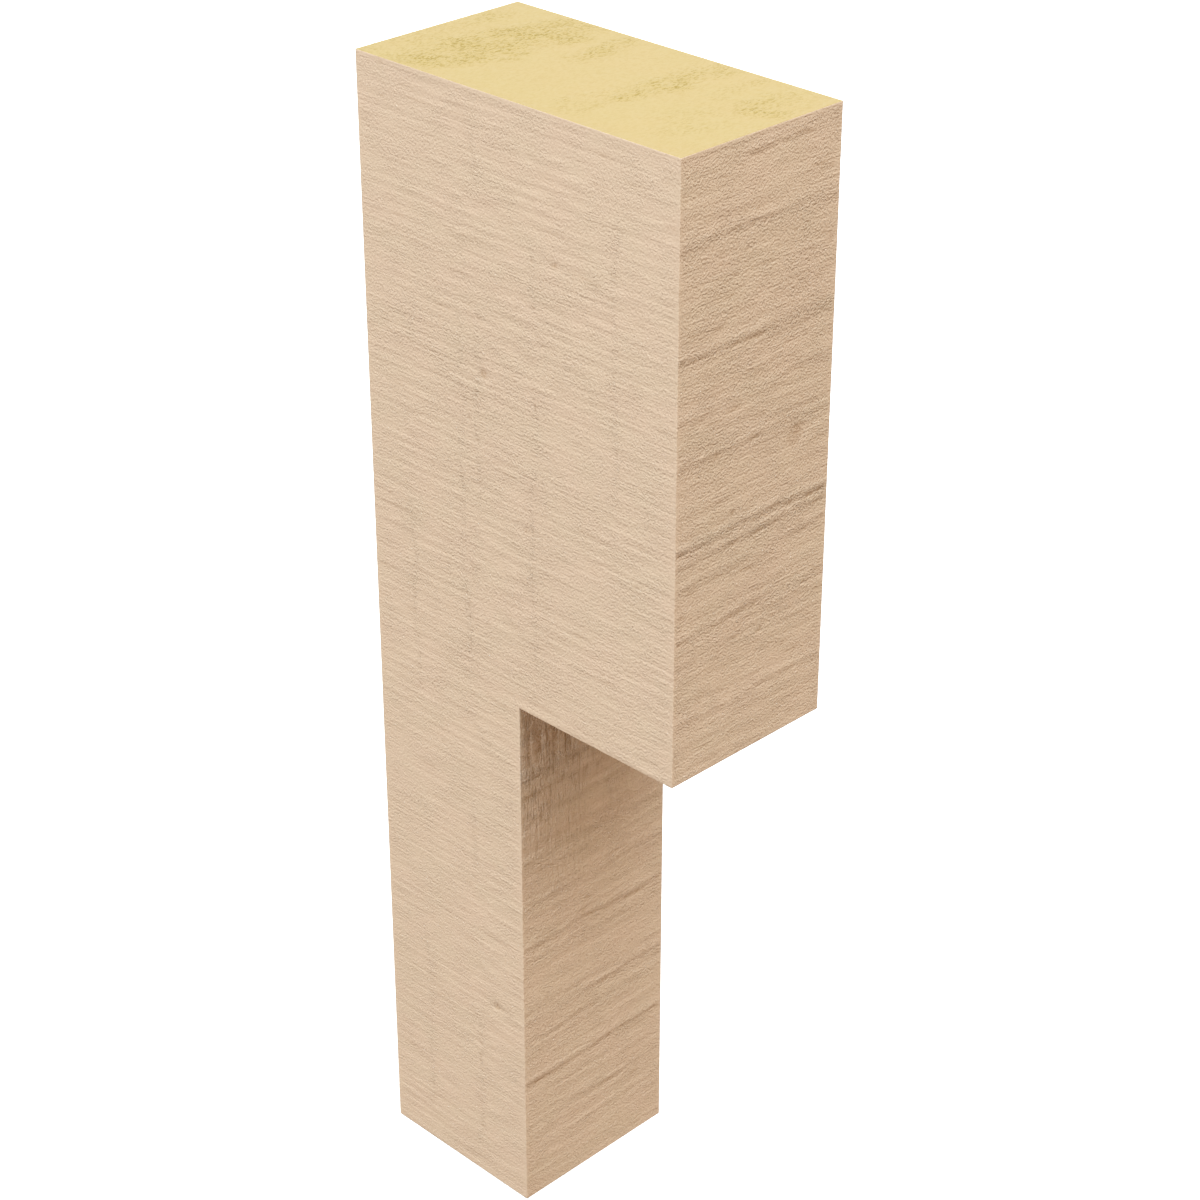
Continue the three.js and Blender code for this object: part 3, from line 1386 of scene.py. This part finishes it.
        return [
            side("left side", -1.0, SawnSide(seed=10, tracks=self.TRACKS, pits=self.SIDE_PITS)),
            side("right side", 1.0, SawnSide(seed=60, tracks=self.TRACKS, pits=self.SIDE_PITS[3:])),
            front("block front", form.block_depth, 0.0, upper, block_relief),
            front(self.LEG_FRONT, form.leg_depth, form.block_height, lower, leg_relief),
            under(self.SOFFIT, form.leg_depth, form.top - form.block_height, outer, SawnUnderside(310)),
            under("foot", 0.0, -form.top, inner, SawnUnderside(360)),
            Panel(
                "top", (left, 0.0, form.top), outwards, across, (0.0, 0.0, 1.0),
                out, wide, BareFoam(410, self.TOP_PATCHES), Finish.FOAM,
                self.room_in(form.block_depth, form.width),
            ),
            Panel(
                "back", (left, 0.0, form.top), across, downwards, (0.0, 1.0, 0.0),
                wide, down, FlatFoam(460), Finish.FOAM, self.room_in(form.width, form.height), coarse=(6, 12),
            ),
        ]

    def room_in(self, length: float, width: float) -> Callable[[Array, Array], Array]:
        """A function that gives the distance to the nearest edge of a rectangle."""
        return lambda u, v: np.minimum(np.minimum(u, length - u), np.minimum(v, width - v))

    def room_on_side(self, u: Array, v: Array) -> Array:
        """Distance to the nearest edge of the L-shaped side.

        Args:
            u: Distances along the face.
            v: Distances down or across the face.

        Returns:
            One distance for each point.
        """
        form = self.form
        past_leg = np.maximum(form.leg_depth - u, 0.0)
        past_block = np.maximum(form.block_height - v, 0.0)
        outer = self.room_in(form.block_depth, form.height)(u, v)
        return np.minimum(outer, np.hypot(past_leg, past_block))

    def softened(self, points: Array, panels: list[Panel]) -> Array:
        """How far each flat point is drawn in where it lies on an arris.

        Args:
            points: Points on the flat faces.
            panels: The flat faces.

        Returns:
            The move of each point, which is zero away from the arrises and in the corner of the notch.
        """
        touched = {panel.name: panel.holds(points) for panel in panels}
        count = sum(mask.astype(int) for mask in touched.values())
        in_notch = touched[self.LEG_FRONT] & touched[self.SOFFIT] & (count == 2)
        on_arris = (count > 1) & ~in_notch
        outward = sum(np.outer(touched[panel.name] & on_arris, panel.outward) for panel in panels)
        return -self.arris * outward

    def build(self) -> bpy.types.Object:
        """Makes the mesh from its panels, joined at their edges.

        Returns:
            The object, with its materials still to come.
        """
        places, values, polygons, finishes = [], [], [], []
        count = 0
        panels = self.panels()
        for panel in panels:
            flat = panel.flat_points()
            cut, read = panel.depths(self.margin)
            places.append(flat + self.softened(flat, panels) - cut[:, None] * np.array(panel.outward))
            values.append(read)
            rings = panel.rings()
            polygons += [[corner + count for corner in ring] for ring in rings]
            finishes += [panel.finish.value] * len(rings)
            count += len(flat)
            log.info("%s: %d polygons", panel.name, len(rings))
        points = np.concatenate(places)
        keys = np.round(points / SAME_PLACE).astype(np.int64)
        _, first, which = np.unique(keys, axis=0, return_index=True, return_inverse=True)
        which = which.reshape(-1)
        used = sorted({int(which[corner]) for ring in polygons for corner in ring})
        number = {vertex: k for k, vertex in enumerate(used)}
        rings = [[number[int(which[corner])] for corner in ring] for ring in polygons]
        kept = first[np.array(used)]
        read = {name: np.concatenate([part[name] for part in values])[kept] for name in values[0]}
        return self.as_object(points[kept] * MM, rings, finishes, read)

    def as_object(
        self, points: Array, rings: list[list[int]], finishes: list[int], values: dict[str, Array]
    ) -> bpy.types.Object:
        """Makes the Blender object.

        Args:
            points: The vertices, in metres.
            rings: The polygons.
            finishes: The material slot of each polygon.
            values: The values that the finishes read, by name, one for each vertex.

        Returns:
            The object, with its materials still to come.
        """
        mesh = bpy.data.meshes.new("rough_sawn_corbel")
        mesh.from_pydata(points.tolist(), [], rings)
        mesh.polygons.foreach_set("material_index", finishes)
        for name, given in values.items():
            mesh.attributes.new(name, "FLOAT", "POINT").data.foreach_set("value", given.astype(np.float32))
        mesh.shade_smooth()
        mesh.update()
        made = bpy.data.objects.new("rough_sawn_corbel", mesh)
        bpy.context.scene.collection.objects.link(made)
        return made

    def dress(self, piece: bpy.types.Object) -> None:
        """Gives the object its materials, in the order of the finishes."""
        for finish in Finish:
            piece.data.materials.append(self.finishes[finish].material())


def direction(azimuth: float, elevation: float) -> Vector:
    """The way to a place round the corbel, by its angles in degrees from straight in front."""
    around, up = math.radians(azimuth), math.radians(elevation)
    return Vector((math.sin(around) * math.cos(up), -math.cos(around) * math.cos(up), math.sin(up)))


@dataclass(frozen=True)
class Softbox:
    """A square lamp that shines at one point of the corbel.

    Attributes:
        name: Its name.
        azimuth: Where it hangs, in degrees round from straight in front. Minus is to the left.
        elevation: Where it hangs, in degrees above the point.
        power: Its power in watts.
        colour: The colour of its light.
        distance: From the lamp to the point, in metres.
        size: Length of its side, in metres.
    """

    name: str
    azimuth: float
    elevation: float
    power: float
    colour: Colour
    distance: float = 4.2
    size: float = 2.9

    def hang(self, aim: Vector) -> None:
        """Hangs the lamp so that it shines at a point, out of the camera's sight.

        Args:
            aim: The point, in metres.
        """
        lamp = bpy.data.lights.new(self.name, "AREA")
        lamp.shape = "SQUARE"
        lamp.size = self.size
        lamp.energy = self.power
        lamp.color = self.colour
        hung = bpy.data.objects.new(self.name, lamp)
        back = direction(self.azimuth, self.elevation)
        hung.location = aim + back * self.distance
        hung.rotation_euler = back.to_track_quat("Z", "Y").to_euler()
        hung.visible_camera = False
        bpy.context.scene.collection.objects.link(hung)


@dataclass(frozen=True)
class Dome:
    """Soft light from all round, weak and warm from below.

    Attributes:
        strength: How many times brighter the light is than its colours say.
        bands: Heights in degrees above the horizon, and the colour of the light from each.
    """

    strength: float = 1.31
    bands: tuple[tuple[float, Colour], ...] = (
        (-90.0, (0.05, 0.03, 0.02)),
        (-30.0, (0.235, 0.14, 0.075)),
        (-7.0, (0.455, 0.33, 0.19)),
        (2.0, (0.71, 0.65, 0.545)),
        (12.0, (0.70, 0.63, 0.515)),
        (25.0, (0.79, 0.71, 0.59)),
        (50.0, (0.95, 0.95, 0.93)),
        (60.0, (0.40, 0.405, 0.43)),
    )

    def light(self) -> None:
        """Fills the world with the light."""
        world = bpy.data.worlds.new("dome")
        world.use_nodes = True
        tree = world.node_tree
        sky = tree.nodes["Background"]
        sky.inputs["Strength"].default_value = self.strength
        way = tree.nodes.new("ShaderNodeTexCoord").outputs["Generated"]
        parts = tree.nodes.new("ShaderNodeSeparateXYZ")
        tree.links.new(way, parts.inputs[0])
        height = tree.nodes.new("ShaderNodeMapRange")
        tree.links.new(parts.outputs["Z"], height.inputs["Value"])
        height.inputs["From Min"].default_value = -1.0
        ramp = tree.nodes.new("ShaderNodeValToRGB")
        tree.links.new(height.outputs["Result"], ramp.inputs["Fac"])
        tree.links.new(ramp.outputs["Color"], sky.inputs["Color"])
        stops = ramp.color_ramp.elements
        while len(stops) < len(self.bands):
            stops.new(0.5)
        for stop, (degrees, colour) in zip(stops, self.bands):
            stop.position = (math.sin(math.radians(degrees)) + 1.0) / 2
            stop.color = (*colour, 1.0)
        bpy.context.scene.world = world


@dataclass(frozen=True)
class Studio:
    """A pale floor with a wall round it, the lights and the camera.

    Attributes:
        foot: The level of the corbel's foot, in metres.
        floor_size: Length of the floor's side, in metres.
        wall_height: Height of the wall round the floor, in metres.
        floor_colour: The floor's colour.
        floor_glow: How strongly the floor and the wall glow, which keeps them white.
        dome: The light from all round.
        lamps: The lamps.
        aim: The point that the camera looks at, in metres.
        azimuth: The camera's direction in degrees: 0 looks along +Y, 90 looks along -X.
        elevation: The camera's height above the horizon in degrees.
        distance: From the camera to the point that it looks at, in metres.
        lens: The camera's focal length, in millimetres.
        sensor: The width of the camera's sensor, in millimetres.
    """

    foot: float
    floor_size: float = 60.0
    wall_height: float = 25.0
    floor_colour: Colour = (0.93, 0.93, 0.93)
    floor_glow: float = 0.5
    dome: Dome = Dome()
    aim: Vec3 = (-0.0508, -0.1566, 0.0810)
    azimuth: float = -45.05
    elevation: float = 28.795
    distance: float = 1.3005
    lens: float = 85.57
    sensor: float = 36.0
    lamps: tuple[Softbox, ...] = (
        Softbox("front_lamp", 0.0, 58.0, 145.0, (0.64, 0.86, 1.0)),
        Softbox("left_lamp", -90.0, 30.0, 149.0, (0.54, 0.79, 1.0)),
        Softbox("right_lamp", 135.0, 16.0, 108.0, (0.53, 0.78, 1.0)),
    )

    def pale_material(self) -> bpy.types.Material:
        """Makes the matt material of the floor and the wall.

        Returns:
            The material, which glows as strongly as the floor does.
        """
        sheet = Sheet("pale_floor")
        sheet.feed(sheet.shader.inputs["Base Color"], self.floor_colour)
        sheet.feed(sheet.shader.inputs["Emission Color"], self.floor_colour)
        sheet.shader.inputs["Emission Strength"].default_value = self.floor_glow
        sheet.shader.inputs["Roughness"].default_value = 1.0
        sheet.shader.inputs["Specular IOR Level"].default_value = 0.0
        return sheet.material

    def put_up(
        self, name: str, corners: list[Vec3], faces: list[tuple[int, ...]], material: bpy.types.Material
    ) -> bpy.types.Object:
        """Adds a pale surface that casts no shadow and adds nothing to the soft light on the corbel.

        Args:
            name: Its name.
            corners: Its corners, in metres.
            faces: Its faces, as the numbers of their corners.
            material: Its material.

        Returns:
            The surface.
        """
        mesh = bpy.data.meshes.new(name)
        mesh.from_pydata(corners, [], faces)
        mesh.materials.append(material)
        surface = bpy.data.objects.new(name, mesh)
        surface.visible_diffuse = False
        surface.visible_shadow = False
        bpy.context.scene.collection.objects.link(surface)
        return surface

    def lay_floor(self) -> None:
        """Lays the floor at the level of the foot, and stands a pale wall round it at its edge."""
        half = self.floor_size / 2
        ring = ((-half, -half), (half, -half), (half, half), (-half, half))
        corners = [(x, y, self.foot + level) for level in (0.0, self.wall_height) for x, y in ring]
        sides = [(k, k + 4, (k + 1) % 4 + 4, (k + 1) % 4) for k in range(4)]
        material = self.pale_material()
        self.put_up("floor", corners[:4], [(0, 1, 2, 3)], material)
        wall = self.put_up("wall", corners, sides, material)
        wall.visible_glossy = False

    def light(self) -> None:
        """Lights the dome and hangs the lamps."""
        self.dome.light()
        bpy.context.scene.view_settings.view_transform = "Standard"
        for lamp in self.lamps:
            lamp.hang(Vector(self.aim))

    def set_camera(self) -> None:
        """Sets the camera at the photograph's viewing angle."""
        back = direction(self.azimuth, self.elevation)
        lens = bpy.data.cameras.new("camera")
        lens.lens = self.lens
        lens.sensor_width = self.sensor
        camera = bpy.data.objects.new("camera", lens)
        camera.location = Vector(self.aim) + back * self.distance
        camera.rotation_euler = back.to_track_quat("Z", "Y").to_euler()
        bpy.context.scene.collection.objects.link(camera)
        bpy.context.scene.camera = camera


def main() -> None:
    """Builds the corbel and its studio."""
    logging.basicConfig(level=logging.INFO, format="%(name)s: %(message)s")
    form = Form.of_solid(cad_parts[CORBEL_NODE])
    log.info("sizes: %s", form)
    studio = Studio(foot=-form.top * MM)
    studio.set_camera()
    studio.light()
    studio.lay_floor()
    finishes = {
        Finish.SIDE: PrimedFoam(
            "primed_sawn_side", grain=(1.2, 1.2, 1.2), streak=(34.0, 34.0, 1.5), twist=0.15,
            relief=1.8, streak_share=0.3, fine_shade=0.06, hairline=0.25, shade=0.4, shade_from=0.45, stain=0.03,
        ),
        Finish.FRONT: PrimedFoam(
            "primed_torn_front", grain=(1.0, 1.0, 1.1), streak=(40.0, 40.0, 1.7), twist=0.15,
            relief=2.15, streak_share=0.2, fine_shade=0.2, hairline=0.5, shade=0.45, shade_from=0.2, stain=0.1,
        ),
        Finish.FOAM: OpenFoam("bare_foam"),
    }
    corbel = Corbel(form, finishes)
    piece = corbel.build()
    corbel.dress(piece)
    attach(piece, BODY)
    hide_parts(CORBEL_NODE)
    triangles = sum(len(polygon.vertices) - 2 for polygon in piece.data.polygons)
    log.info("%s: %d vertices, %d triangles", piece.name, len(piece.data.vertices), triangles)


if __name__ == "__main__":
    main()
